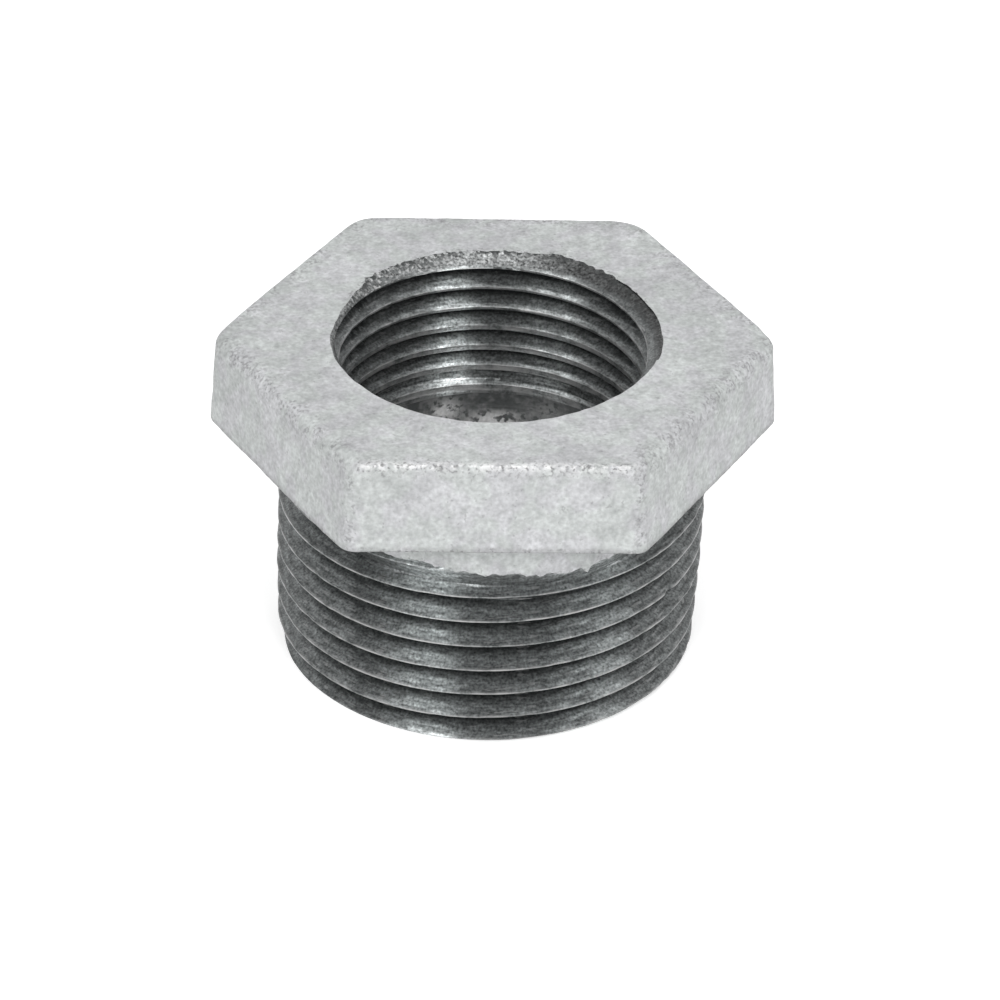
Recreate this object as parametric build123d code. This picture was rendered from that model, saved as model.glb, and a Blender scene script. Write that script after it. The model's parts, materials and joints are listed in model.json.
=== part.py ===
from build123d import *
import math
import os

# A hex bushing for steel pipe, cast in one piece: a hexagon head, a collar and a male taper thread below it, and
# a bore right through. Millimetres. The small end of the male thread stands on Z = 0, the bore runs along Z, and
# two corners of the hexagon lie on the X axis.

# Head, as cast
across_flats = 38.1
head_height = 7.1
head_draft_deg = 6.0
head_corner_radius = 1.5
head_top_edge = 0.4
head_foot_edge = 0.3

# Collar under the head, left as cast where the die stopped
collar_radius = 17.05
collar_height = 3.3
collar_flare = 0.5
collar_foot_edge = 0.25

# Male thread, 1 inch size: a 60 degree vee with a sharp root, on a 1 in 16 taper
inch = 25.4
threads_per_inch = 11.5
flank_deg = 30
taper_per_side = 1 / 32
male_length = 19.1
end_crest_radius = 16.35
crest_flat = 0.21
end_chamfer = 0.3

# Where a groove passes the front of the part, above the small end
groove_at_front = 1.3
front_angle = -90

# The last turns below the collar, over which the die's lead makes the groove shallower
die_lead_turns = 1.7

# Bore: drilled for the 3/4 inch thread and countersunk at the top
bore_radius = 11.75
countersink_radius = 12.45
countersink_depth = 0.65
bore_end_chamfer = 0.35

# How far a cutter reaches past the part, and past the surface that it cuts
turns_past_end = 2
margin = 2.0
overrun = 0.05

# Worked out
half_across_flats = across_flats / 2
total_height = male_length + head_height
collar_foot = male_length - collar_height
taper_deg = math.degrees(math.atan(taper_per_side))
flank_slope = math.tan(math.radians(flank_deg))
pitch = inch / threads_per_inch
thread_depth = (pitch - crest_flat) / 2 / flank_slope


def crest_radius(height):
    """Radius over the male crests at a height above the small end."""
    return end_crest_radius + height * taper_per_side


def turned(*points):
    """A solid of revolution about Z, from its outline as radius and height."""
    outline = Plane.XZ * make_face(Polyline(*points, close=True))
    return revolve(outline, Axis.Z)


def head():
    """The hexagon, drawn from its foot upwards with the mould's draft, its corners rounded and its edges broken."""
    outline = RegularPolygon(half_across_flats, 6, major_radius=False)
    outline = fillet(outline.vertices(), head_corner_radius)
    block = extrude(outline, amount=head_height, taper=head_draft_deg)
    block = chamfer(block.edges().group_by(Axis.Z)[-1], head_top_edge)
    block = chamfer(block.edges().group_by(Axis.Z)[0], head_foot_edge)
    return Pos(0, 0, male_length) * block


def collar():
    """The cast collar, which flares into the head's underside and has a broken lower edge."""
    return turned(
        (0, collar_foot),
        (collar_radius - collar_foot_edge, collar_foot),
        (collar_radius, collar_foot + collar_foot_edge),
        (collar_radius, male_length - collar_flare),
        (collar_radius + collar_flare, male_length),
        (collar_radius + collar_flare, male_length + margin),
        (0, male_length + margin),
    )


def thread_groove(start, turns):
    """The vee that the die cuts, wound right-handed up the cone in ruled faces turn by turn. start is the height
    of its root at the front of the part, at its lower end."""
    root_radius = crest_radius(start) - thread_depth
    mouth = thread_depth + overrun
    half_mouth = mouth * flank_slope
    corners = [(0, 0), (mouth, -half_mouth), (mouth, half_mouth)]
    # the helix counts its pitch along the cone's slant
    slant_pitch = pitch / math.cos(math.radians(taper_deg))
    faces = []
    for turn in range(turns):
        rise = turn * pitch
        lines = []
        for out, up in corners:
            radius = root_radius + rise * taper_per_side + out
            foot = (0, 0, start + rise + up)
            lines.append(Helix(slant_pitch, pitch, radius, center=foot, cone_angle=taper_deg).edge())
        for line, following in zip(lines, lines[1:] + lines[:1]):
            faces.append(Face.make_surface_from_curves(line, following))
        if turn == 0:
            faces.append(Face(Wire.make_polygon([line @ 0 for line in lines])))
        if turn == turns - 1:
            faces.append(Face(Wire.make_polygon([line @ 1 for line in lines])))
    return Rot(0, 0, front_angle) * Solid(Shell(faces))


def male_barrel():
    """The tapered barrel under the collar with its thread, whose last turns run out where the die stopped."""
    blank = turned(
        (0, 0),
        (end_crest_radius - end_chamfer, 0),
        (crest_radius(end_chamfer), end_chamfer),
        (crest_radius(collar_foot + margin), collar_foot + margin),
        (0, collar_foot + margin),
    )
    start = groove_at_front - turns_past_end * pitch
    turns = math.ceil((collar_foot - start) / pitch) + 1
    full_depth_top = collar_foot - die_lead_turns * pitch
    above_all = collar_foot + turns * pitch
    uncut = turned(
        (0, full_depth_top),
        (crest_radius(full_depth_top) - thread_depth - overrun, full_depth_top),
        (crest_radius(collar_foot) + overrun, collar_foot),
        (half_across_flats, collar_foot),
        (half_across_flats, above_all),
        (0, above_all),
    )
    return blank - (thread_groove(start, turns) - uncut)


def bore():
    """The plain drilled hole, countersunk at the top and with its lower edge broken."""
    return turned(
        (0, -margin),
        (bore_radius + bore_end_chamfer + margin, -margin),
        (bore_radius, bore_end_chamfer),
        (bore_radius, total_height - countersink_depth),
        (countersink_radius, total_height),
        (countersink_radius, total_height + margin),
        (0, total_height + margin),
    )


def hex_bushing():
    """The whole casting with its male thread, bored through for the female one."""
    return male_barrel() + collar() + head() - bore()


os.makedirs("parts", exist_ok=True)
export_step(hex_bushing(), "parts/hex_bushing.step")
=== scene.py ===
import itertools
import json
import math

import bmesh
import bpy
import numpy as np
from mathutils import Matrix, Vector


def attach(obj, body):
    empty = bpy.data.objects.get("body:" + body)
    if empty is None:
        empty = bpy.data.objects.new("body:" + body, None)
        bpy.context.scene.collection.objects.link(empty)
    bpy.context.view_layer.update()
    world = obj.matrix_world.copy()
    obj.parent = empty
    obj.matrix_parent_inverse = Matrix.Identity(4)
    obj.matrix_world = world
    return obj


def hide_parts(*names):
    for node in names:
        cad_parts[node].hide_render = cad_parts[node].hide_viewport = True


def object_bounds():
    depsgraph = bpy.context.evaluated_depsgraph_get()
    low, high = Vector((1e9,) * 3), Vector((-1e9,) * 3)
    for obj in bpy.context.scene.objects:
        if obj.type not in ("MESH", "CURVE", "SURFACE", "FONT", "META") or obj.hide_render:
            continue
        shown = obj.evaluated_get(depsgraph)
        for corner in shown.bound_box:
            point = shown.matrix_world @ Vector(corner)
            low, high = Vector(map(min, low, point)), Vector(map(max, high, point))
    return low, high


# The bushing's skin is one closed grid of columns round the Z axis: up the male thread, round the collar and
# the hexagon, over the top face, down the female thread and the bore, and out across the small end. Azimuths
# are in degrees from +X. Heights count from the small end that it stands on. A pair of values that
# smooth_step takes is where the effect is nought and where it is whole.
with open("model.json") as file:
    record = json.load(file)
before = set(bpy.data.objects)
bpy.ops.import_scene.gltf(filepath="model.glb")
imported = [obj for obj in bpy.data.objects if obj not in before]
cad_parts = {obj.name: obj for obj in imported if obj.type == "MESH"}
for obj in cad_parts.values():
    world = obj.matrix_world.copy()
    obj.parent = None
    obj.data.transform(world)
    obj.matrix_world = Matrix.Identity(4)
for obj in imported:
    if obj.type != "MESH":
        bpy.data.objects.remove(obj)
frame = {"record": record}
cad_low, cad_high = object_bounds()
mm = 0.001
mount = {m["name"]: m for m in frame["record"]["mounts"]}
front_deg = -90
back_deg = 90

# Head
top_height = cad_high.z
head_height = 7.1 * mm
head_foot = top_height - head_height
half_width_at_foot = 19.05 * mm
head_draft_deg = 6.0
# Radius of each upright corner, as azimuth in degrees and mm
corner_radii = {0: 1.5, 60: 3.4, 120: 2.8, 180: 2.0, 240: 1.8, 300: 1.5}
# How far the head's foot hangs below its drawn height, as azimuth in degrees and mm
foot_droop = [
    (-165, 0.3),
    (-128, 0.38),
    (-114, 0.12),
    (-66, 0.12),
    (-54, 0.25),
    (-15, 0.28),
    (30, 0.1),
    (150, 0.1),
]

# How far the rough casting's corners stand to the right of a true hexagon's, at the top and at the foot, as
# azimuth in degrees and mm, and how far the top's back edge stands back
push_right_at_top = [(-60, 0), (0, 0.5), (60, 0.95), (120, 0), (180, -0.3), (240, 0)]
push_right_at_foot = [(-60, 0), (0, 0.05), (60, 0.75), (120, 0), (180, 0), (240, 0)]
push_back_at_top = [(0, 0), (60, 0.15), (120, 0.4), (180, 0)]
push_grows_outwards = (14.5 * mm, 18.5 * mm)
push_grows_upwards = (head_foot - 0.6 * mm, head_foot)

# Edges of the head. The top's front edge is almost sharp and the two beside it are rolled. Degrees from the
# front say where one gives way to the next.
foot_edge_radius = 0.18 * mm
front_edge_radius = 0.16 * mm
rolled_edge_radius = 0.9 * mm
back_edge_radius = 0.3 * mm
front_edge_ends_deg = (31, 26)
back_edge_begins_deg = (85, 100)

# Collar: the ragged line where the casting's skin ends, as azimuth in degrees and height in mm
collar_radius = 17.05 * mm
collar_fillet_radius = 0.8 * mm
collar_edge_break = 0.25 * mm
collar_lip_inset = 0.12 * mm
collar_lip_height = 0.02 * mm
collar_line = [
    (-170, 17.3),
    (-150, 17.3),
    (-128, 16.5),
    (-116, 16.15),
    (-106, 16.2),
    (-100, 15.9),
    (-90, 15.75),
    (-78, 15.6),
    (-73, 15.45),
    (-62, 15.75),
    (-52, 16.1),
    (-44, 16.6),
    (-30, 17.1),
    (-10, 17.5),
    (20, 16.9),
    (60, 16.2),
    (100, 15.8),
    (140, 16.3),
]
drip_azimuth_deg = -66.2
drip_width_deg = 1.0
drip_length = 0.7 * mm

# Threads
inch = 25.4 * mm
flank_slope = math.tan(math.radians(30))
taper_per_side = 1 / 32

male_pitch = inch / 11.5
male_crest_flat = 0.12 * mm
male_root_flat = 0.09 * mm
male_end_crest_radius = 16.35 * mm
male_top_crest_radius = 16.56 * mm
male_end_chamfer = 0.3 * mm
male_groove_at_front = 1.3 * mm
die_lead_turns = 1.7
# The fine step that the die left on each upward flank: its height off the groove's middle, width and depth
die_step_at = -0.42 * male_pitch / 2
die_step_width = 0.06 * mm
die_step_depth = 0.05 * mm
# The barrel stands a little askew to the head: its sideways shift at the small end, the shift's slope
# upwards, and the heights between which it fades in down the collar
lean_at_end = -0.25 * mm
lean_slope = 0.026
lean_fades_in = (head_foot - 0.9 * mm, head_foot - 3 * mm)
# Knocks on the male crests, as azimuth in degrees, height, width in degrees and depth
knocks = [
    (-34.6, 9.4 * mm, 1.6, 0.25 * mm),
    (-104.0, 5.3 * mm, 1.3, 0.12 * mm),
    (-139.0, 12.2 * mm, 1.8, 0.16 * mm),
    (-71.0, 1.1 * mm, 1.4, 0.14 * mm),
    (32.0, 7.6 * mm, 2.0, 0.2 * mm),
    (118.0, 3.3 * mm, 1.6, 0.18 * mm),
]
knock_tall = 0.5 * mm

female_pitch = inch / 14
female_crest_flat = 0.14 * mm
female_root_flat = 0.08 * mm
female_length = 12.2 * mm
female_groove_at_back = top_height + 0.18 * mm
tap_lead_turns = 2.2
# The share of the vee's depth, a little over the whole, at which the tap's lead ends
tap_full_share = 1.2

# Bore. rim_line is the outer edge of the countersink, as azimuth in degrees and radius in mm: narrow at the
# front and broken out at the back.
bore_radius = mount["female_thread"]["dims"]["r_mm"] * mm
countersink_depth = 0.7 * mm
bore_end_chamfer = 0.35 * mm
rim_dip = 0.03 * mm
rim_line = [
    (-145, 12.35),
    (12, 12.35),
    (24, 12.75),
    (35, 12.9),
    (42, 13.1),
    (51, 13.5),
    (61, 13.6),
    (68, 13.8),
    (75, 13.3),
    (90, 13.15),
    (97, 13.4),
    (110, 13.5),
    (117, 13.3),
    (131, 13.2),
    (139, 12.9),
    (147, 12.5),
    (160, 12.1),
    (168, 12.2),
    (183, 12.45),
    (198, 12.45),
]
# The rim's radii over which its line and the cone below it turn ragged, and the depth below the top over
# which the cone does
rim_turns_ragged = (12.4 * mm, 12.8 * mm)
cone_turns_ragged = (12.6 * mm, 13.2 * mm)
cone_ragged_below = (0, 0.25 * mm)

# Noise: the radii at which it is read round the axis, and its layers as amount and wavelength in mm and seed
outer_noise_radius = 15 * mm
inner_noise_radius = 12 * mm
noise_table_size = 4096
lattice_primes = (73856093, 19349663, 83492791)
collar_rag = [(0.12, 1.6, 11), (0.16, 0.33, 12)]
collar_drips = [(0.25, 0.5, 13)]
rim_crumbs = [(0.15, 0.9, 21), (0.17, 0.4, 22)]
rim_waver = [(0.05, 0.8, 23)]
rim_height_waver = [(0.03, 1.5, 31)]
male_tears = [(0.07, (0.9, 0.9, 0.6), 41)]
female_tears = [(0.04, (0.9, 0.9, 0.5), 42)]
cone_crumbs = [(0.16, 0.5, 43)]
sand_waves = [(0.06, 3.5, 51), (0.04, 1.2, 52), (0.03, 0.55, 53)]
burr_lumps = [(0.15, 0.8, 54), (0.13, 0.42, 55)]

# Marks on the casting: where each begins and ends, and how wide its bell is. What is further out than the
# middle of the wall is the outside.
mid_wall_radius = 14.5 * mm
burr_ends_deg = (31.5, 29.5)
burr_width = 0.42 * mm
roll_begins_deg = (29, 32)
roll_width = 1.5 * mm
corner_width = 0.5 * mm
corner_fades_in = (1.7 * mm, 1.0 * mm)
crease_rise = 0.08 * mm
crease_width = 0.13 * mm
rim_edge_width = 0.5 * mm
rim_break_begins_deg = (12, 25)
rim_break_ends_deg = (165, 150)
cast_above_edge = (0, 0.3 * mm)
cast_off_rim = (0.05 * mm, 0.5 * mm)
collar_edge_width = 0.22 * mm

# Marks on the cut surfaces. Those of the flanks are shares of the thread's depth below the crest.
crest_depth = (0.2 * mm, 0.0)
crest_below_collar = (0.3 * male_pitch, 1.1 * male_pitch)
groove_shade_share = (0.5, 0.95)
painted_sheen_share = (0.95, 0.35)
run_out_below_collar = (1.7 * mm, 0.6 * mm)
female_thread_within = 13.2 * mm
countersink_below_top = (0.85 * mm, 0.55 * mm)
countersink_from, countersink_to = 11.9 * mm, 14.2 * mm
crumbs_begin_deg = (100, 112)
crumbs_end_deg = (155, 140)
bore_wall_within = 12.2 * mm
# Painted light and shade on the countersink, as azimuth in degrees and shade: lighter at the back, darker to
# the right
countersink_painted_shades = [
    (-140, 0.17),
    (0, 0.05),
    (40, 0.05),
    (58, 0.06),
    (70, 0.14),
    (84, 0.27),
    (102, 0.32),
    (116, 0.22),
    (135, 0.2),
    (160, 0.2),
    (190, 0.18),
]
# Painted sheen: zones of each thread's flanks painted bright as highlights, as azimuth and width in degrees
# and what is added to them, as times their own brightness
male_painted_sheen = [(-108, 9, 2.0), (-61, 11, 1.3)]
female_painted_sheen = [(105, 8, 3.6), (65, 12, 1.3)]
# Painted highlight spots on the bore's wall, as azimuth in degrees, height, width in degrees and height of
# the spot
bore_highlight_spots = [
    (107.5, 12.9 * mm, 5.5, 0.65 * mm),
    (66.0, 13.2 * mm, 8.0, 0.45 * mm),
    (88.0, 11.2 * mm, 10.0, 0.5 * mm),
]

# Grid: the columns round the axis, and the rows of each stretch as shares of the way or as turns round an
# edge
columns = 420
azimuth = np.linspace(0, 2 * math.pi, columns, endpoint=False)
collar_shares = np.linspace(0.3, 1, 5)
underside_shares = (0.5, 1.0)
flat_shares = np.linspace(0, 1, 16)[1:]
top_face_shares = np.linspace(0, 1, 16)[1:] ** 0.9
bore_shares = np.linspace(0, 1, 11)[1:]
small_end_shares = (0.0, 0.5, 1.0)
small_edge_turns = np.radians([30, 60, 90])
top_edge_turns = np.radians([22.5, 45, 67.5, 90])
# Rows on the flank above each groove, and on the one below the next
male_flank_rows = (2, 6)
female_flank_rows = (3, 5)
weld_distance = 0.2e-6
sharp_edge_deg = 35

sector = math.radians(60)
draft_slope = math.tan(math.radians(head_draft_deg))
half_width_at_top = half_width_at_foot - head_height * draft_slope
male_depth = (male_pitch - male_crest_flat - male_root_flat) / 2 / flank_slope
female_depth = (female_pitch - female_crest_flat - female_root_flat) / 2 / flank_slope


def lattice_noise(points, wavelength, seed):
    """Smooth noise from -1 to 1: a random value on each corner of a cubic lattice of that wavelength, eased
    between corners by 3t^2 - 2t^3. wavelength is one length or one for each axis."""
    table = np.random.default_rng(seed).uniform(-1, 1, noise_table_size)
    scaled = points / np.asarray(wavelength)
    cell = np.floor(scaled).astype(np.int64)
    part = scaled - cell
    ease = part * part * (3 - 2 * part)
    total = np.zeros(points.shape[:-1])
    for corner in itertools.product((0, 1), repeat=3):
        at = cell + np.array(corner)
        key = np.bitwise_xor.reduce(at * np.array(lattice_primes), axis=-1)
        weight = np.prod(np.where(corner, ease, 1 - ease), axis=-1)
        total += weight * table[key % noise_table_size]
    return total


def layered_noise(points, layers):
    """The sum of noise layers, each of an amount and a wavelength in mm and a seed."""
    return sum(
        amount * mm * lattice_noise(points, np.asarray(wavelength) * mm, seed)
        for amount, wavelength, seed in layers
    )


def place(radius, turn, height):
    """Points from a radius, an azimuth in radians and a height, as an array with x, y and z last:
    radius * cos(turn), radius * sin(turn) and height."""
    radius, turn, height = np.broadcast_arrays(radius, turn, height)
    return np.stack([radius * np.cos(turn), radius * np.sin(turn), height], axis=-1)


def ring_noise(turn, layers):
    """layered_noise read round a circle, so that it closes on itself."""
    return layered_noise(place(outer_noise_radius, turn, 0.0), layers)


def smooth_step(low, high, value):
    """0 below low and 1 above high, eased between by 3t^2 - 2t^3."""
    t = np.clip((value - low) / (high - low), 0, 1)
    return t * t * (3 - 2 * t)


def window(value, rise, fall):
    """1 between a rise and a fall, eased to 0 outside them."""
    return smooth_step(*rise, value) * smooth_step(*fall, value)


def between(first, second, share):
    """The value that share of the way from first to second: first + (second - first) * share."""
    return first + (second - first) * share


def bell(value, width):
    """A bell round nought: exp(-(value / width)^2)."""
    return np.exp(-((value / width) ** 2))


def angle_from(turn, centre_deg):
    """Degrees from an azimuth the short way round, from -180 to 180."""
    return (np.degrees(turn) - centre_deg + 180) % 360 - 180


def bump_at(turn, centre_deg, width_deg):
    """A bell round one azimuth."""
    return bell(angle_from(turn, centre_deg), width_deg)


def along_line(turn, line):
    """A line's value at each azimuth, straight between its points and closed on itself, from mm."""
    angles, values = np.array(line, float).T
    return np.interp(np.degrees(turn), angles, values, period=360) * mm


def hexagon_reach(turn, half_width, corner_radius):
    """Distance from the axis to a hexagon with rounded corners: half_width / cos(angle) on a flat, whose
    middle is at 30 degrees and every 60 from there, and the far crossing with the corner's circle beside
    it."""
    angle = np.abs((turn % sector) - sector / 2)
    flat_end = np.arctan((half_width - corner_radius) * math.tan(sector / 2) / half_width)
    centre = (half_width - corner_radius) / math.cos(sector / 2)
    off = sector / 2 - angle
    under_root = corner_radius**2 - (centre * np.sin(off)) ** 2
    round_part = centre * np.cos(off) + np.sqrt(np.maximum(under_root, 0))
    return np.where(angle < flat_end, half_width / np.cos(angle), round_part)


def corner_radius_at(turn):
    """Radius of the hexagon's nearest corner."""
    nearest = np.round(np.degrees(turn) / 60).astype(int) % 6
    return np.array([corner_radii[60 * index] for index in range(6)])[nearest] * mm


def toward_flat(radius, turn):
    """Distance from the axis measured squarely to the nearest flat: radius * cos(angle off its middle)."""
    return radius * np.cos(turn % sector - sector / 2)


def groove_offset(turn, height, pitch, groove_at, groove_azimuth_deg):
    """Height above the nearest turn of a right-hand groove, from -pitch / 2 to pitch / 2."""
    rise = pitch * (turn - math.radians(groove_azimuth_deg)) / (2 * math.pi)
    return (height - groove_at - rise + pitch / 2) % pitch - pitch / 2


def male_offset(turn, height):
    """Height above the nearest turn of the male groove."""
    return groove_offset(turn, height, male_pitch, male_groove_at_front, front_deg)


def female_offset(turn, height):
    """Height above the nearest turn of the female groove."""
    return groove_offset(turn, height, female_pitch, female_groove_at_back, back_deg)


def vee(offset, depth, root_flat):
    """How far a vee groove reaches in at a height off its middle: full depth on the flat, then
    depth - (height off the flat) / slope up the flank."""
    return np.clip(depth - (np.abs(offset) - root_flat / 2) / flank_slope, 0, depth)


def collar_edge_height(turn):
    """Height of the ragged lower edge of the cast collar: its line, with noise, small drips and a larger one
    right of the front, which hangs as exp(-(angle / width)^4)."""
    rag = ring_noise(turn, collar_rag)
    drips = np.maximum(ring_noise(turn, collar_drips), 0)
    drip = drip_length * np.exp(-((angle_from(turn, drip_azimuth_deg) / drip_width_deg) ** 4))
    return along_line(turn, collar_line) + rag - drips - drip


def male_crest_radius(height):
    """Radius over the male crests: the thread's cone, held to one radius over the upper turns."""
    return np.minimum(male_end_crest_radius + height * taper_per_side, male_top_crest_radius)


def male_radius(turn, height):
    """Radius of the male thread: the tapered crest, torn and knocked, less the vee, kept outside the cone at
    which the die's lead ran out, and inside the chamfer at the small end."""
    offset = male_offset(turn, height)
    cut = vee(offset, male_depth, male_root_flat)
    cut = cut - die_step_depth * bell(offset - die_step_at, die_step_width)
    lead = die_lead_turns * male_pitch
    share = np.clip((along_line(turn, collar_line) - height) / lead, 0, 1)
    cut = np.minimum(cut, male_depth * share)
    torn = np.maximum(layered_noise(place(outer_noise_radius, turn, height), male_tears), 0)
    for knock_azimuth, knock_height, width_deg, depth in knocks:
        knock = bump_at(turn, knock_azimuth, width_deg) * bell(height - knock_height, knock_tall)
        torn = torn + depth * knock
    chamfer = male_end_crest_radius - male_end_chamfer + height
    return np.minimum(male_crest_radius(height) - np.maximum(cut, torn), chamfer)


def rim_radius(turn):
    """Radius of the countersink's outer edge, which is crumbled where its line turns ragged and only wavers
    elsewhere."""
    line = along_line(turn, rim_line)
    rough = smooth_step(*rim_turns_ragged, line)
    return line + ring_noise(turn, rim_crumbs) * rough + ring_noise(turn, rim_waver) * (1 - rough)


def female_root_radius(height):
    """Radius of the female roots, which narrow downwards from the mouth."""
    return bore_radius + female_depth - (top_height - height) * taper_per_side


def female_radius(turn, height):
    """Radius of the female thread: the drilled wall plus the vee, which fades over the tap's lead at its
    lower end, or the countersink's cone where that is wider."""
    vee_reach = vee(female_offset(turn, height), female_depth, female_root_flat)
    groove = female_root_radius(height) - female_depth + vee_reach
    share = (height - (top_height - female_length)) / (tap_lead_turns * female_pitch)
    reach = bore_radius + female_depth * np.clip(share, 0, tap_full_share)
    radius = np.maximum(bore_radius, np.minimum(groove, reach))
    at = place(inner_noise_radius, turn, height)
    radius = radius + np.maximum(layered_noise(at, female_tears), 0)
    rim = rim_radius(turn)
    below_top = top_height - height
    cone = rim - below_top * (rim - bore_radius) / countersink_depth
    rough = smooth_step(*cone_turns_ragged, rim) * smooth_step(*cone_ragged_below, below_top)
    return np.maximum(radius, cone + rough * layered_noise(at, cone_crumbs))


def grid_quads(row_count, stride):
    """Quads between neighbouring rows of a grid whose rows hold stride points. Rows of as many points as
    there are columns close on themselves."""
    down, across = np.meshgrid(np.arange(row_count - 1), np.arange(columns), indexing="ij")
    right = (across + 1) % stride
    corners = [
        down * stride + across,
        down * stride + right,
        (down + 1) * stride + right,
        (down + 1) * stride + across,
    ]
    return np.stack(corners, axis=-1).reshape(-1, 4)


def ring_grid(rows):
    """Points of rows that each close on themselves, with quads between them."""
    return np.concatenate(rows), grid_quads(len(rows), columns)


def helix_grid(offsets, pitch, low, high, radius_at, direction):
    """Rows that climb one pitch for each turn, so that they follow the thread, held between the heights low
    and high of each column. offsets are the rows' heights within one pitch. direction 1 counts rows upwards
    and -1 downwards. A full turn ends where the row one pitch higher began, and welding closes it."""
    turn = np.linspace(0, 2 * math.pi, columns + 1)
    low, high = np.append(low, low[0]), np.append(high, high[0])
    pitches = np.arange(math.floor(low.min() / pitch) - 2, math.ceil(high.max() / pitch) + 2)
    starts = np.sort((pitches[:, None] * pitch + offsets[None, :]).ravel())[::direction]
    height = starts[:, None] + pitch * turn[None, :] / (2 * math.pi)
    inside = (height > low[None, :]) & (height < high[None, :])
    height = np.clip(height, low[None, :], high[None, :])
    points = place(radius_at(turn[None, :], height), turn[None, :], height)
    quads = grid_quads(len(starts), columns + 1)
    used = inside.ravel()[quads].any(axis=1)
    return points.reshape(-1, 3), quads[used]


def thread_offsets(pitch, root_flat, crest_flat, groove_at, groove_azimuth_deg, flank_rows):
    """Heights of the rows of one pitch at azimuth 0: both edges of the root and of the crest, with flank_rows
    between them on the two flanks."""
    root, crest = root_flat / 2, (pitch - crest_flat) / 2
    up_flank = np.linspace(root, crest, flank_rows[0] + 2)
    down_flank = np.linspace(pitch - crest, pitch - root, flank_rows[1] + 2)
    at_zero = groove_at - pitch * math.radians(groove_azimuth_deg) / (2 * math.pi)
    return (np.concatenate([up_flank, down_flank]) + at_zero) % pitch


def male_thread_grid(low, high):
    """The male thread from the small end to the collar."""
    shape = male_pitch, male_root_flat, male_crest_flat
    offsets = thread_offsets(*shape, male_groove_at_front, front_deg, male_flank_rows)
    return helix_grid(offsets, male_pitch, low, high, male_radius, 1)


def female_thread_grid(low, high):
    """The female thread from the rim down to the plain bore."""
    shape = female_pitch, female_root_flat, female_crest_flat
    offsets = thread_offsets(*shape, female_groove_at_back, back_deg, female_flank_rows)
    return helix_grid(offsets, female_pitch, low, high, female_radius, -1)


def rim_height(turn):
    """Height of the top face at the rim of the bore, just under the highest point."""
    return top_height - rim_dip - ring_noise(turn, rim_height_waver)


def edge_radius(turn):
    """Radius of the top edge: almost sharp along the front, a soft roll beside it and plain at the back."""
    from_front = np.abs(angle_from(turn, front_deg))
    radius = between(rolled_edge_radius, back_edge_radius, smooth_step(*back_edge_begins_deg, from_front))
    return between(radius, front_edge_radius, smooth_step(*front_edge_ends_deg, from_front))


def collar_rows(edge, foot):
    """The collar from its ragged edge up: the lip, the wall, and the fillet under the head, which goes
    radius * (1 - cos(angle)) out and radius * sin(angle) up."""
    rows = [
        place(male_radius(azimuth, edge), azimuth, edge),
        place(collar_radius - collar_lip_inset, azimuth, edge + collar_lip_height),
        place(collar_radius, azimuth, edge + collar_edge_break),
    ]
    fillet_foot = foot - collar_fillet_radius
    for share in collar_shares:
        height = between(edge + collar_edge_break, fillet_foot, share)
        rows.append(place(collar_radius, azimuth, height))
    for angle in small_edge_turns:
        out = collar_fillet_radius * (1 - np.cos(angle))
        up = collar_fillet_radius * np.sin(angle)
        rows.append(place(collar_radius + out, azimuth, fillet_foot + up))
    return rows


def hexagon_rows(foot):
    """The head from the fillet out: the underside, the foot edge, the flats with their draft, and the top
    edge. The foot edge goes radius * (1 - sin(angle)) in and radius * (1 - cos(angle)) up, and the top edge
    the same with in and up exchanged."""
    corner = corner_radius_at(azimuth)
    flare = collar_radius + collar_fillet_radius
    inner = hexagon_reach(azimuth, half_width_at_foot - foot_edge_radius, corner - foot_edge_radius)
    rows = [place(between(flare, inner, share), azimuth, foot) for share in underside_shares]
    for angle in small_edge_turns:
        inset = foot_edge_radius * (1 - np.sin(angle))
        reach = hexagon_reach(azimuth, half_width_at_foot - inset, corner - inset)
        rows.append(place(reach, azimuth, foot + foot_edge_radius * (1 - np.cos(angle))))
    edge_round = edge_radius(azimuth)
    for share in flat_shares:
        height = between(foot + foot_edge_radius, top_height - edge_round, share)
        half_width = half_width_at_foot - np.maximum(height - head_foot, 0) * draft_slope
        rows.append(place(hexagon_reach(azimuth, half_width, corner), azimuth, height))
    for angle in top_edge_turns:
        inset = edge_round * (1 - np.cos(angle))
        reach = hexagon_reach(azimuth, half_width_at_top - inset, corner - inset)
        rows.append(place(reach, azimuth, top_height - edge_round * (1 - np.sin(angle))))
    return rows


def top_face_rows(outer):
    """The top face from the radius outer in to the rim of the bore, to which it dips as share^2."""
    rim_z = rim_height(azimuth)
    rim = female_radius(azimuth, rim_z)
    rows = []
    for share in top_face_shares:
        rows.append(place(between(outer, rim, share), azimuth, between(top_height, rim_z, share**2)))
    return rows


def head_rows(edge):
    """The cast surface from the collar's lower edge to the rim of the bore."""
    foot = head_foot - along_line(azimuth, foot_droop)
    rows = collar_rows(edge, foot) + hexagon_rows(foot)
    outer = np.linalg.norm(rows[-1][:, :2], axis=1)
    return rows + top_face_rows(outer)


def bore_rows(start):
    """The plain bore below the thread, its lower chamfer and the flat small end, out to the male thread."""
    rows = [place(female_radius(azimuth, start), azimuth, start)]
    for share in bore_shares:
        rows.append(place(bore_radius, azimuth, between(start, bore_end_chamfer, share)))
    inner, outer = bore_radius + bore_end_chamfer, male_radius(azimuth, 0.0)
    for share in small_end_shares:
        rows.append(place(between(inner, outer, share), azimuth, 0.0))
    return rows


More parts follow.
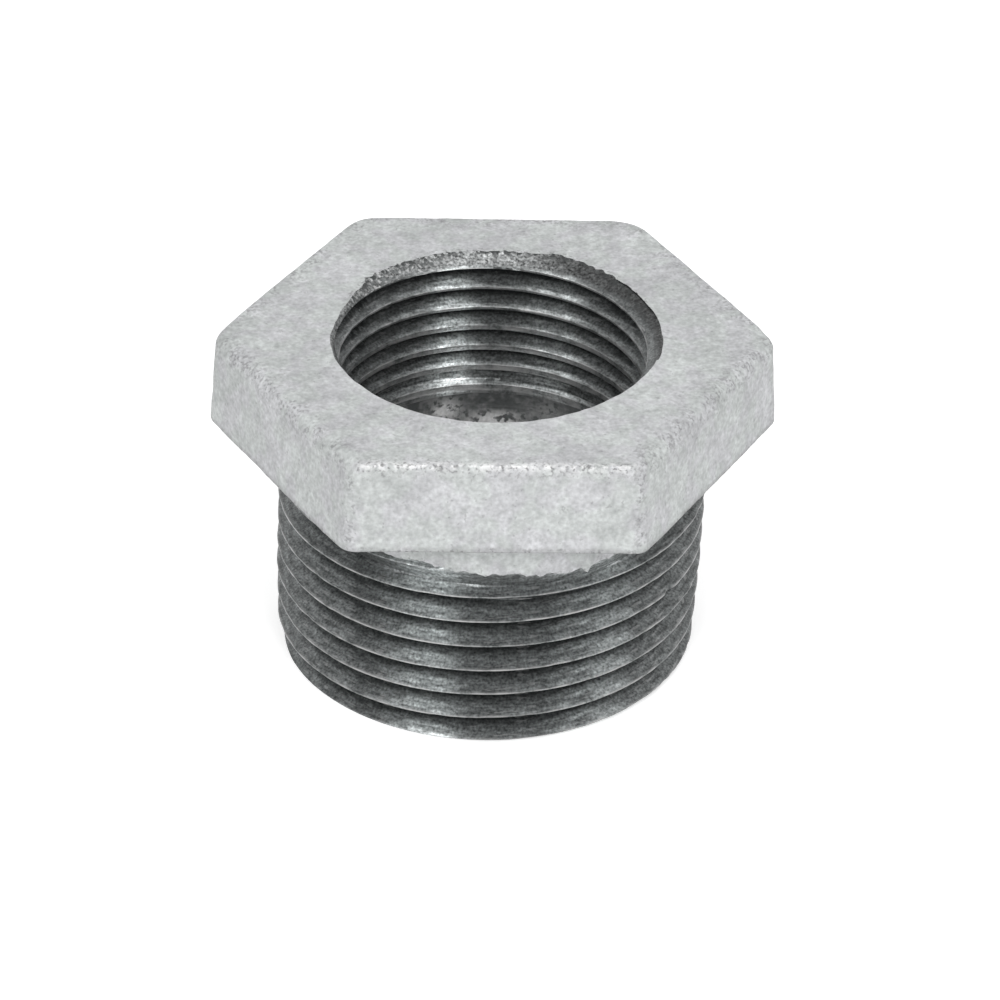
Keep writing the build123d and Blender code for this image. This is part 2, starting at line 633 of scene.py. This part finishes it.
def joined_mesh(name, grids):
    """One mesh of several grids, each with its material's number, welded where their edges meet."""
    points, quads, materials, count = [], [], [], 0
    for (grid_points, quads_of_grid), material in grids:
        points.append(grid_points)
        quads.append(quads_of_grid + count)
        materials.append(np.full(len(quads_of_grid), material))
        count += len(grid_points)
    mesh = bpy.data.meshes.new(name)
    mesh.from_pydata(np.concatenate(points), [], np.concatenate(quads))
    mesh.polygons.foreach_set("material_index", np.concatenate(materials).astype(np.int32))
    work = bmesh.new()
    work.from_mesh(mesh)
    bmesh.ops.remove_doubles(work, verts=work.verts, dist=weld_distance)
    loose = [v for v in work.verts if not v.link_faces]
    bmesh.ops.delete(work, geom=loose, context="VERTS")
    work.to_mesh(mesh)
    work.free()
    return mesh


def mesh_points(mesh):
    """The mesh's points, one a row."""
    points = np.empty(len(mesh.vertices) * 3)
    mesh.vertices.foreach_get("co", points)
    return points.reshape(-1, 3)


def move_points(mesh, points):
    """Puts the mesh's points where they are given."""
    mesh.vertices.foreach_set("co", points.ravel())
    mesh.update()


def around_axis(points):
    """Radius, azimuth in radians and height of points."""
    return np.hypot(points[:, 0], points[:, 1]), np.arctan2(points[:, 1], points[:, 0]), points[:, 2]


def head_marks(points):
    """Masks from 0 to 1 on the casting. burr: the crumbly line along the front flat's top edge, where a white
    edge highlight is painted. roll: the soft edges beside it and the upright corners. crease_shade: painted
    shade along the line under the flats. cast: all of the cast skin. collar_edge: close to the ragged end of
    that skin. rim_edge: along the broken back of the bore's rim."""
    radius, turn, height = around_axis(points)
    outside = radius > mid_wall_radius
    on_head = height > head_foot
    from_front = np.abs(angle_from(turn, front_deg))
    from_axis = toward_flat(radius, turn)
    from_top_edge = np.hypot(half_width_at_top - from_axis, top_height - height)
    burr = smooth_step(*burr_ends_deg, from_front) * bell(from_top_edge, burr_width)
    from_corner = radius * np.abs((turn + sector / 2) % sector - sector / 2)
    near_side = smooth_step(*corner_fades_in, half_width_at_foot - from_axis)
    upright = bell(from_corner, corner_width) * near_side * on_head
    beside = smooth_step(*roll_begins_deg, from_front) * bell(from_top_edge, roll_width)
    foot = head_foot - along_line(turn, foot_droop)
    off_rim = radius - rim_radius(turn)
    broken = window(np.degrees(turn), rim_break_begins_deg, rim_break_ends_deg)
    above_edge = height - collar_edge_height(turn)
    return {
        "burr": burr,
        "roll": np.maximum(beside, upright),
        "crease_shade": bell(height - foot - crease_rise, crease_width) * outside,
        "cast": smooth_step(*cast_above_edge, above_edge) * smooth_step(*cast_off_rim, off_rim),
        "collar_edge": np.exp(-np.abs(above_edge) / collar_edge_width) * outside,
        "rim_edge": bell(off_rim, rim_edge_width) * broken * on_head,
    }


def painted_sheen_gain(turn, patches):
    """How much the painted sheen brightens a thread: the sum of gain * bell of its patches."""
    return sum(gain * bump_at(turn, centre, width) for centre, width, gain in patches)


def thread_marks(points):
    """Masks from 0 to 1 on the cut surfaces, and two measures. crest: the tops of both threads, worn bright
    and
    painted with glint lines. groove: painted shade at the bottom of the vee. countersink: the broken cone
    under the rim, with its painted light and shade round the axis and where it is crumbly. run_out: the
    shallow turns
    under the collar. painted_sheen: painted highlight patches on the flanks. thread_offset: metres above the
    nearest groove, which tool marks follow."""
    radius, turn, height = around_axis(points)
    outside = radius > mid_wall_radius
    below_crest = np.where(outside, male_crest_radius(height) - radius, radius - bore_radius)
    share = below_crest / np.where(outside, male_depth, female_depth)
    in_female = (height > top_height - female_length) & (radius < female_thread_within)
    on_thread = np.where(outside, height < collar_edge_height(turn), in_female)
    below_collar = along_line(turn, collar_line) - height
    fully_cut = np.where(outside, smooth_step(*crest_below_collar, below_collar), 1)
    painted_sheen = np.where(outside, painted_sheen_gain(turn, male_painted_sheen), painted_sheen_gain(turn, female_painted_sheen))
    in_cone = (radius > countersink_from) & (radius < countersink_to)
    countersink = smooth_step(*countersink_below_top, top_height - height) * in_cone
    crumbly = window(np.degrees(turn), crumbs_begin_deg, crumbs_end_deg)
    return {
        "crest": smooth_step(*crest_depth, below_crest) * on_thread * fully_cut,
        "groove": smooth_step(*groove_shade_share, share) * on_thread,
        "countersink": countersink,
        "countersink_painted_shade": along_line(turn, countersink_painted_shades) / mm,
        "crumbly": crumbly * countersink,
        "run_out": smooth_step(*run_out_below_collar, below_collar) * outside,
        "painted_sheen": painted_sheen * smooth_step(*painted_sheen_share, share) * on_thread,
        "thread_offset": np.where(outside, male_offset(turn, height), female_offset(turn, height)),
    }


def bore_marks(points):
    """Mask from 0 to 1 of the painted highlight spots on the bore's wall below the thread, each a bell round
    one point."""
    radius, turn, height = around_axis(points)
    spots = np.zeros(len(points))
    for spot_azimuth, spot_height, width_deg, tall in bore_highlight_spots:
        spot = bump_at(turn, spot_azimuth, width_deg) * bell(height - spot_height, tall)
        spots = np.maximum(spots, spot)
    return {"painted_highlight_spot": spots * (radius < bore_wall_within)}


def sink_skin(mesh, cast, burr):
    """Sinks the cast skin along its normals by the relief of the mould's sand: for each of sand_waves its
    amount * (1 + noise) / 2. The burr stands out in lumps instead."""
    points = mesh_points(mesh)
    normals = np.empty(points.size)
    mesh.vertex_normals.foreach_get("vector", normals)
    deepest = sum(amount for amount, _, _ in sand_waves) * mm
    depth = (deepest + layered_noise(points, sand_waves)) / 2
    move = burr * layered_noise(points, burr_lumps) - depth
    points = points + normals.reshape(-1, 3) * (move * cast)[:, None]
    points[:, 2] = np.minimum(points[:, 2], top_height)
    move_points(mesh, points)


def push_head(mesh):
    """Pushes the head sideways and back by the amounts at the foot and at the top, straight between corners
    and up the flats, and growing from the rim outwards. All stays inside the frame's box."""
    points = mesh_points(mesh)
    radius, turn, height = around_axis(points)
    on_head = smooth_step(*push_grows_outwards, radius) * smooth_step(*push_grows_upwards, height)
    rise = np.clip((height - head_foot) / head_height, 0, 1)
    at_foot, at_top = along_line(turn, push_right_at_foot), along_line(turn, push_right_at_top)
    points[:, 0] += between(at_foot, at_top, rise) * on_head
    points[:, 1] += along_line(turn, push_back_at_top) * rise * on_head
    points[:, :2] = np.clip(points[:, :2], tuple(cad_low)[:2], tuple(cad_high)[:2])
    move_points(mesh, points)


def lean_barrel(mesh):
    """Shifts the male barrel sideways by lean_at_end + lean_slope * height, fading out up the collar."""
    points = mesh_points(mesh)
    radius, _, height = around_axis(points)
    barrel = (radius > mid_wall_radius) * smooth_step(*lean_fades_in, height)
    points[:, 0] += (lean_at_end + lean_slope * height) * barrel
    move_points(mesh, points)


def bushing_skin():
    """The whole skin with its relief and its masks, which the materials read as attributes."""
    edge = collar_edge_height(azimuth)
    thread_end = np.full(columns, top_height - female_length)
    zinc_number, thread_number, bore_number = range(3)
    grids = [
        (male_thread_grid(np.zeros(columns), edge), thread_number),
        (ring_grid(head_rows(edge)), zinc_number),
        (female_thread_grid(thread_end, rim_height(azimuth)), thread_number),
        (ring_grid(bore_rows(thread_end[0])), bore_number),
    ]
    mesh = joined_mesh("bushing_skin", grids)
    points = mesh_points(mesh)
    marks = head_marks(points) | thread_marks(points) | bore_marks(points)
    for name, values in marks.items():
        layer = mesh.attributes.new(name, "FLOAT", "POINT")
        layer.data.foreach_set("value", values.astype(np.float32))
    sink_skin(mesh, marks["cast"], marks["burr"])
    push_head(mesh)
    lean_barrel(mesh)
    return mesh


def empty_tree(owner):
    """The node tree of a material or a world, emptied."""
    owner.use_nodes = True
    owner.node_tree.nodes.clear()
    return owner.node_tree


def fill_inputs(tree, node, inputs):
    """Gives a node its inputs, as values or as links from sockets."""
    for name, value in inputs.items():
        if isinstance(value, bpy.types.NodeSocket):
            tree.links.new(value, node.inputs[name])
        else:
            node.inputs[name].default_value = value


def add(tree, kind, inputs=None, **settings):
    """A node with its settings and its inputs."""
    node = tree.nodes.new(kind)
    for name, value in settings.items():
        setattr(node, name, value)
    fill_inputs(tree, node, inputs or {})
    return node


def maths(tree, operation, first, second):
    """The result of one sum on two values."""
    return add(tree, "ShaderNodeMath", {0: first, 1: second}, operation=operation).outputs[0]


def product(tree, first, *others):
    """The product of values."""
    for other in others:
        first = maths(tree, "MULTIPLY", first, other)
    return first


def blend(tree, factor, first, second):
    """One colour over another by a factor, in the mix node's numbered sockets for colours."""
    return add(tree, "ShaderNodeMix", {0: factor, 6: first, 7: second}, data_type="RGBA").outputs[2]


def scaled_colour(tree, colour, value):
    """A colour times a value."""
    scaled = add(tree, "ShaderNodeVectorMath", {0: colour, "Scale": value}, operation="SCALE")
    return scaled.outputs[0]


def stretched(tree, position, scale):
    """A position times a scale for each axis, which draws a pattern out along the axes of small scale."""
    return add(tree, "ShaderNodeVectorMath", {0: position, 1: scale}, operation="MULTIPLY").outputs[0]


def noise_value(tree, position, size, detail, roughness=0.5):
    """Noise from 0 to 1 of a given size, with its finer octaves."""
    scale = maths(tree, "DIVIDE", 1.0, size)
    inputs = {"Vector": position, "Scale": scale, "Detail": detail, "Roughness": roughness}
    return add(tree, "ShaderNodeTexNoise", inputs).outputs["Fac"]


def mask_of(tree, name):
    """One of the skin's masks."""
    return add(tree, "ShaderNodeAttribute", attribute_name=name).outputs["Fac"]


def grey(value):
    """A grey as a colour with its alpha."""
    return (value, value, value, 1)


def new_group(name, inputs, outputs):
    """An empty node group, with the sockets of its two ends. inputs give name, kind and default, outputs name
    and kind."""
    group = bpy.data.node_groups.new(name, "ShaderNodeTree")
    for label, kind, default in inputs:
        socket = group.interface.new_socket(name=label, in_out="INPUT", socket_type=kind)
        if default is not None:
            socket.default_value = default
    for label, kind in outputs:
        group.interface.new_socket(name=label, in_out="OUTPUT", socket_type=kind)
    return group, add(group, "NodeGroupInput").outputs, add(group, "NodeGroupOutput").inputs


def use_group(tree, group, inputs):
    """A group placed in a tree, as its outputs."""
    node = tree.nodes.new("ShaderNodeGroup")
    node.node_tree = group
    fill_inputs(tree, node, inputs)
    return node.outputs


def speckle_group():
    """Specks: noise of a given size, cut at a threshold and softened above it."""
    group, given, result = new_group(
        "specks",
        [
            ("Position", "NodeSocketVector", None),
            ("Size", "NodeSocketFloat", 0.3 * mm),
            ("Threshold", "NodeSocketFloat", 0.6),
            ("Softness", "NodeSocketFloat", 0.05),
        ],
        [("Mask", "NodeSocketFloat")],
    )
    noise = noise_value(group, given["Position"], given["Size"], detail=2.0)
    top = maths(group, "ADD", given["Threshold"], given["Softness"])
    cut_inputs = {"Value": noise, "From Min": given["Threshold"], "From Max": top}
    cut = add(group, "ShaderNodeMapRange", cut_inputs, interpolation_type="SMOOTHSTEP")
    group.links.new(cut.outputs["Result"], result["Mask"])
    return group


def mottle_group():
    """Mottling: 1 + 4 * spread * (noise - 0.5), by noise of a given size and its finer octaves."""
    group, given, result = new_group(
        "mottle",
        [
            ("Position", "NodeSocketVector", None),
            ("Size", "NodeSocketFloat", 1.0 * mm),
            ("Spread", "NodeSocketFloat", 0.1),
        ],
        [("Value", "NodeSocketFloat")],
    )
    noise = noise_value(group, given["Position"], given["Size"], detail=1.5)
    centred = maths(group, "SUBTRACT", noise, 0.5)
    spread = product(group, centred, 4.0, given["Spread"])
    group.links.new(maths(group, "ADD", spread, 1.0), result["Value"])
    return group


def sand_group():
    """Grain as relief: a bump of noise of a given size and its finer octaves, laid over a normal."""
    group, given, result = new_group(
        "sand_relief",
        [
            ("Position", "NodeSocketVector", None),
            ("Size", "NodeSocketFloat", 0.5 * mm),
            ("Depth", "NodeSocketFloat", 0.03 * mm),
            ("Normal", "NodeSocketVector", None),
        ],
        [("Normal", "NodeSocketVector")],
    )
    noise = noise_value(group, given["Position"], given["Size"], detail=4.0, roughness=0.62)
    bump_inputs = {"Height": noise, "Strength": 1.0, "Distance": given["Depth"], "Normal": given["Normal"]}
    bump = add(group, "ShaderNodeBump", bump_inputs)
    group.links.new(bump.outputs["Normal"], result["Normal"])
    return group


def tool_mark_group():
    """Fine lines round the axis, as a tool leaves them: noise drawn out round the ring, as a value from 0
    to 1 and as relief."""
    group, given, result = new_group(
        "tool_marks",
        [
            ("Position", "NodeSocketVector", None),
            ("Spacing", "NodeSocketFloat", 0.12 * mm),
            ("Depth", "NodeSocketFloat", 0.01 * mm),
        ],
        [("Value", "NodeSocketFloat"), ("Normal", "NodeSocketVector")],
    )
    drawn = stretched(group, given["Position"], tool_mark_stretch)
    noise = noise_value(group, drawn, given["Spacing"], detail=2.0)
    bump = add(group, "ShaderNodeBump", {"Height": noise, "Strength": 1.0, "Distance": given["Depth"]})
    group.links.new(noise, result["Value"])
    group.links.new(bump.outputs["Normal"], result["Normal"])
    return group


def new_material(name):
    """A material with its emptied tree, and the Object coordinates that its patterns read."""
    material = bpy.data.materials.new(name)
    tree = empty_tree(material)
    return material, tree, add(tree, "ShaderNodeTexCoord").outputs["Object"]


def finish_material(tree, colour, normal, metallic, roughness):
    """The surface itself, from a colour and a normal."""
    surface = {"Base Color": colour, "Metallic": metallic, "Roughness": roughness, "Normal": normal}
    shader = add(tree, "ShaderNodeBsdfPrincipled", surface)
    output = add(tree, "ShaderNodeOutputMaterial")
    tree.links.new(shader.outputs["BSDF"], output.inputs["Surface"])


def speck_mask(tree, specks, position, size, threshold, softness):
    """The mask of the specks group, of a size in mm."""
    inputs = {"Position": position, "Size": size * mm, "Threshold": threshold, "Softness": softness}
    return use_group(tree, specks, inputs)["Mask"]


def mottle_value(tree, mottle, position, size, spread):
    """The value of the mottle group, of a size in mm."""
    return use_group(tree, mottle, {"Position": position, "Size": size * mm, "Spread": spread})["Value"]


def mottled(tree, mottle, position, colour, layers):
    """A colour mottled in layers, each of a size in mm and a spread."""
    for size, spread in layers:
        colour = scaled_colour(tree, colour, mottle_value(tree, mottle, position, size, spread))
    return colour


# Colours, as they render under the plain light
zinc_green = (0.478, 0.497, 0.492, 1)
zinc_lilac = (0.481, 0.486, 0.498, 1)
burr_highlight_and_flake_white = grey(0.85)
crumb_and_shade_dark = grey(0.17)
steel_dark = (0.115, 0.122, 0.122, 1)
steel_shade_and_crumb = (0.035, 0.038, 0.038, 1)
steel_glint_and_scratch = grey(0.42)
bore_pale = grey(0.3)
spot_highlight_grey = grey(0.9)
broken_iron = (0.97, 1.0, 1.0)

# Mottling of each surface, as sizes in mm and spreads
zinc_mottle = [(6.0, 0.06), (1.8, 0.1), (0.6, 0.14), (0.28, 0.16)]
thread_mottle = [(3.0, 0.1), (0.5, 0.2), (0.2, 0.6)]
countersink_mottle = [(0.55, 0.4), (0.22, 1.0)]
countersink_darkest = 0.1
bore_mottle = [(0.3, 0.2)]

# How strongly each mark shows
roll_speck_strength = 0.65
loose_speck_strength = 0.35
burr_highlight_strength = 0.85
burr_spread_power = 0.2
dirt_strength = 0.85
crease_shade_strength = 0.9
crease_shade_base = 0.55
groove_shade_strength = 0.9
tool_line_gain = 2.2
score_strength = 0.3
crest_glint_strength = 0.8
crest_narrowing_power = 3.0
crumb_strength = 0.7
flake_strength = 0.35
blotch_strength = 0.5
spot_highlight_gain = 1.6

# How patterns are drawn out, as a scale for each axis: the smaller, the longer
tool_mark_stretch = (0.09, 0.09, 1)
score_stretch = (0.1, 0.1, 1)
chatter_stretch = (1, 1, 0.2)


def galvanised_material(specks, mottle, sand):
    """Dull zinc over sand-cast iron: two greys in clouds, mottled in four sizes, dark specks that gather on
    the rolled edges, a crumbly burr on the front edge painted white as an edge highlight, and a line of
    painted shade under the flats."""
    material, tree, at = new_material("galvanised_casting")
    clouds = speck_mask(tree, specks, at, size=2.2, threshold=0.42, softness=0.16)
    colour = blend(tree, clouds, zinc_green, zinc_lilac)
    colour = mottled(tree, mottle, at, colour, zinc_mottle)
    patches = speck_mask(tree, specks, at, size=1.1, threshold=0.36, softness=0.18)
    fine = speck_mask(tree, specks, at, size=0.25, threshold=0.45, softness=0.2)
    on_roll = product(tree, mask_of(tree, "roll"), patches, fine, roll_speck_strength)
    colour = blend(tree, on_roll, colour, crumb_and_shade_dark)
    loose = speck_mask(tree, specks, at, size=0.4, threshold=0.66, softness=0.06)
    colour = blend(tree, product(tree, loose, loose_speck_strength), colour, crumb_and_shade_dark)
    # The burr is painted white as an edge highlight along the front flat's top edge, broken into specks.
    burr = mask_of(tree, "burr")
    broken = speck_mask(tree, specks, at, size=0.4, threshold=0.34, softness=0.3)
    colour = blend(tree, product(tree, burr, broken, burr_highlight_strength), colour, burr_highlight_and_flake_white)
    crumbs = speck_mask(tree, specks, at, size=0.3, threshold=0.5, softness=0.2)
    near_burr = maths(tree, "POWER", burr, burr_spread_power)
    torn = maths(tree, "MAXIMUM", mask_of(tree, "collar_edge"), mask_of(tree, "rim_edge"))
    dirty = maths(tree, "MAXIMUM", near_burr, torn)
    colour = blend(tree, product(tree, dirty, crumbs, dirt_strength), colour, crumb_and_shade_dark)
    # Painted shade: a dark line under the flats where the head shades the collar, broken by crumbs.
    crease_shade = product(tree, mask_of(tree, "crease_shade"), maths(tree, "ADD", crumbs, crease_shade_base))
    colour = blend(tree, maths(tree, "MINIMUM", crease_shade, crease_shade_strength), colour, crumb_and_shade_dark)
    relief = {"Position": at, "Size": 0.5 * mm, "Depth": 0.045 * mm}
    relief["Normal"] = add(tree, "ShaderNodeNewGeometry").outputs["Normal"]
    normal = use_group(tree, sand, relief)["Normal"]
    finish_material(tree, colour, normal, metallic=0.1, roughness=0.68)
    return material


def thread_material(specks, mottle, marks, sand):
    """Bare cut iron gone dull: grainy, with fine lines along the thread, painted shade at the roots, crests
    worn bright with painted glint lines and painted sheen on the flanks. The countersink has painted light
    and shade round the axis, broken into crumbs at its left, and flecks of zinc end at the collar."""
    material, tree, at = new_material("cut_thread")
    apart = add(tree, "ShaderNodeSeparateXYZ", {"Vector": at}).outputs
    wound = {"X": apart["X"], "Y": apart["Y"], "Z": mask_of(tree, "thread_offset")}
    along = add(tree, "ShaderNodeCombineXYZ", wound).outputs["Vector"]
    lines = use_group(tree, marks, {"Position": along, "Spacing": 0.14 * mm, "Depth": 0.008 * mm})
    # Painted shade: the thread roots are darkened towards the bottom of the vee.
    darker = product(tree, mask_of(tree, "groove"), groove_shade_strength)
    colour = blend(tree, darker, steel_dark, steel_shade_and_crumb)
    colour = mottled(tree, mottle, at, colour, thread_mottle)
    colour = scaled_colour(tree, colour, product(tree, lines["Value"], tool_line_gain))
    scored = stretched(tree, along, score_stretch)
    # Painted sheen: the flanks are brightened in zones round the axis as painted highlights, uneven along the
    # thread.
    uneven = mottle_value(tree, mottle, scored, size=0.3, spread=0.7)
    painted_sheen = product(tree, mask_of(tree, "painted_sheen"), maths(tree, "MAXIMUM", uneven, 0.0))
    colour = scaled_colour(tree, colour, maths(tree, "ADD", painted_sheen, 1.0))
    upright = stretched(tree, at, chatter_stretch)
    chatter = mottle_value(tree, mottle, upright, size=0.5, spread=0.4)
    colour = blend(tree, mask_of(tree, "run_out"), colour, scaled_colour(tree, colour, chatter))
    score = speck_mask(tree, specks, scored, size=0.13, threshold=0.62, softness=0.06)
    colour = blend(tree, product(tree, score, score_strength), colour, steel_glint_and_scratch)
    # The crests are worn bright and also carry painted glint lines, broken along their length.
    worn = speck_mask(tree, specks, at, size=1.4, threshold=0.32, softness=0.36)
    crest = maths(tree, "POWER", mask_of(tree, "crest"), crest_narrowing_power)
    colour = blend(tree, product(tree, crest, worn, crest_glint_strength), colour, steel_glint_and_scratch)
    # Painted light and shade: the countersink's colour is set lighter at the back and darker to the right, as
    # the light falls.
    bare = scaled_colour(tree, broken_iron, mask_of(tree, "countersink_painted_shade"))
    for size, spread in countersink_mottle:
        broken = mottle_value(tree, mottle, at, size, spread)
        bare = scaled_colour(tree, bare, maths(tree, "MAXIMUM", broken, countersink_darkest))
    colour = blend(tree, mask_of(tree, "countersink"), colour, bare)
    crumb = speck_mask(tree, specks, at, size=0.5, threshold=0.47, softness=0.08)
    flake = speck_mask(tree, specks, at, size=0.42, threshold=0.56, softness=0.06)
    crumbly = mask_of(tree, "crumbly")
    colour = blend(tree, product(tree, crumb, crumbly, crumb_strength), colour, steel_dark)
    colour = blend(tree, product(tree, flake, crumbly, flake_strength), colour, burr_highlight_and_flake_white)
    colour = blend(tree, product(tree, mask_of(tree, "collar_edge"), crumb), colour, zinc_green)
    colour = blend(tree, product(tree, mask_of(tree, "rim_edge"), crumb), colour, steel_shade_and_crumb)
    relief = {"Position": at, "Size": 0.16 * mm, "Depth": 0.012 * mm, "Normal": lines["Normal"]}
    normal = use_group(tree, sand, relief)["Normal"]
    finish_material(tree, colour, normal, metallic=0.6, roughness=0.32)
    return material


def bore_material(specks, mottle, marks):
    """The bore below the thread: dark drilled iron with blotches and painted highlight spots."""
    material, tree, at = new_material("cored_bore")
    lines = use_group(tree, marks, {"Position": at, "Spacing": 0.3 * mm, "Depth": 0.04 * mm})
    blotch = speck_mask(tree, specks, at, size=0.9, threshold=0.46, softness=0.2)
    colour = blend(tree, product(tree, blotch, blotch_strength), steel_dark, bore_pale)
    broken = speck_mask(tree, specks, at, size=0.5, threshold=0.36, softness=0.16)
    # Painted highlight: bright spots on the bore's wall, broken into specks.
    spot_highlight = product(tree, mask_of(tree, "painted_highlight_spot"), broken, spot_highlight_gain)
    colour = blend(tree, maths(tree, "MINIMUM", spot_highlight, 1.0), colour, spot_highlight_grey)
    colour = mottled(tree, mottle, at, colour, bore_mottle)
    finish_material(tree, colour, lines["Normal"], metallic=0.3, roughness=0.3)
    return material


def make_bushing():
    """The bushing as one piece, with its materials in the order of their numbers."""
    mesh = bushing_skin()
    mesh.shade_smooth()
    mesh.set_sharp_from_angle(angle=math.radians(sharp_edge_deg))
    specks, mottle, sand, marks = speckle_group(), mottle_group(), sand_group(), tool_mark_group()
    for material in (
        galvanised_material(specks, mottle, sand),
        thread_material(specks, mottle, marks, sand),
        bore_material(specks, mottle, marks),
    ):
        mesh.materials.append(material)
    bushing = bpy.data.objects.new("bushing_casting", mesh)
    bpy.context.scene.collection.objects.link(bushing)
    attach(bushing, "root")
    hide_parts("hex_bushing")


# Stage
sky_strength = 0.6
floor_half_size = 2.0
floor_colour = 0.85
floor_lift = 0.45

# Lamps, square and facing the head, as azimuth and elevation in degrees, size and power
lamp_distance = 0.5
lamps = {
    "left_box": (-115, 34, 0.25, 0.78),
    "right_box": (-62, 34, 0.25, 0.78),
    "left_top_strip": (180, 73, 0.09, 0.22),
    "right_top_strip": (0, 73, 0.09, 0.22),
}

# Camera: where it stood in the photo, found from the hexagon's edges and the threads. Its azimuth counts from
# the front.
camera_azimuth_deg = -1.4
camera_elevation_deg = 32.86
camera_roll_deg = 1.19
camera_distance = 342.2 * mm
camera_aim = (0.5 * mm, -12.41 * mm)
camera_lens = 162.0
camera_clip_start = 0.01
camera_clip_end = 10
sensor_width = 36.0


def make_camera():
    """The camera faces the middle of the top face from camera_distance, and is moved by camera_aim to its
    right and up."""
    side, lift, roll = map(math.radians, (camera_azimuth_deg, camera_elevation_deg, camera_roll_deg))
    back = Vector((math.sin(side) * math.cos(lift), -math.cos(side) * math.cos(lift), math.sin(lift)))
    level = Vector((math.cos(side), math.sin(side), 0))
    upright = back.cross(level)
    right = math.cos(roll) * level + math.sin(roll) * upright
    up = -math.sin(roll) * level + math.cos(roll) * upright
    spot = Vector((0, 0, top_height)) + back * camera_distance + right * camera_aim[0] + up * camera_aim[1]
    data = bpy.data.cameras.new("camera")
    data.lens = camera_lens
    data.sensor_width = sensor_width
    data.clip_start = camera_clip_start
    data.clip_end = camera_clip_end
    camera = bpy.data.objects.new("camera", data)
    turned = Matrix((right, up, back)).transposed().to_4x4()
    camera.matrix_world = Matrix.Translation(spot) @ turned
    bpy.context.scene.collection.objects.link(camera)
    bpy.context.scene.camera = camera


def make_lamp(name, azimuth_deg, elevation_deg, size, power):
    """A square soft box that faces the head from an azimuth and an elevation."""
    turn, lift = math.radians(azimuth_deg), math.radians(elevation_deg)
    direction = Vector((math.cos(turn) * math.cos(lift), math.sin(turn) * math.cos(lift), math.sin(lift)))
    data = bpy.data.lights.new(name, "AREA")
    data.shape = "SQUARE"
    data.size = size
    data.energy = power
    lamp = bpy.data.objects.new(name, data)
    lamp.location = Vector((0, 0, head_foot)) + direction * lamp_distance
    lamp.rotation_mode = "QUATERNION"
    lamp.rotation_quaternion = direction.to_track_quat("Z", "Y")
    bpy.context.scene.collection.objects.link(lamp)


def seen_directly(tree):
    """1 for rays that carry the background to the eye, straight or by gloss or glass, and 0 for others."""
    path = add(tree, "ShaderNodeLightPath")
    straight = maths(tree, "MAXIMUM", path.outputs["Is Camera Ray"], path.outputs["Is Glossy Ray"])
    return maths(tree, "MAXIMUM", straight, path.outputs["Is Transmission Ray"])


def make_floor():
    """A pale floor, lifted to white for the eye so that only the bushing's shadow shows on it."""
    half = floor_half_size
    mesh = bpy.data.meshes.new("floor")
    corners = [(-half, -half, 0), (half, -half, 0), (half, half, 0), (-half, half, 0)]
    mesh.from_pydata(corners, [], [(0, 1, 2, 3)])
    material = bpy.data.materials.new("pale_floor")
    tree = empty_tree(material)
    paper = add(tree, "ShaderNodeBsdfDiffuse", {"Color": grey(floor_colour)})
    lift = product(tree, seen_directly(tree), floor_lift)
    glow = add(tree, "ShaderNodeEmission", {"Color": grey(1.0), "Strength": lift})
    both = add(tree, "ShaderNodeAddShader", {0: paper.outputs["BSDF"], 1: glow.outputs["Emission"]})
    add(tree, "ShaderNodeOutputMaterial", {"Surface": both.outputs["Shader"]})
    mesh.materials.append(material)
    floor = bpy.data.objects.new("floor", mesh)
    bpy.context.scene.collection.objects.link(floor)


def make_world():
    """An even sky that lights at a plain level and looks white."""
    world = bpy.data.worlds.new("studio")
    bpy.context.scene.world = world
    tree = empty_tree(world)
    ambient = add(tree, "ShaderNodeBackground", {"Color": grey(1.0), "Strength": sky_strength})
    seen = add(tree, "ShaderNodeBackground", {"Color": grey(1.0), "Strength": 1.0})
    sky = {0: seen_directly(tree), 1: ambient.outputs["Background"], 2: seen.outputs["Background"]}
    mix = add(tree, "ShaderNodeMixShader", sky)
    add(tree, "ShaderNodeOutputWorld", {"Surface": mix.outputs["Shader"]})


def make_stage():
    """The floor, the sky and the lamps."""
    make_floor()
    make_world()
    for name, settings in lamps.items():
        make_lamp(name, *settings)
    bpy.context.scene.view_settings.view_transform = "Standard"


make_bushing()
make_stage()
make_camera()
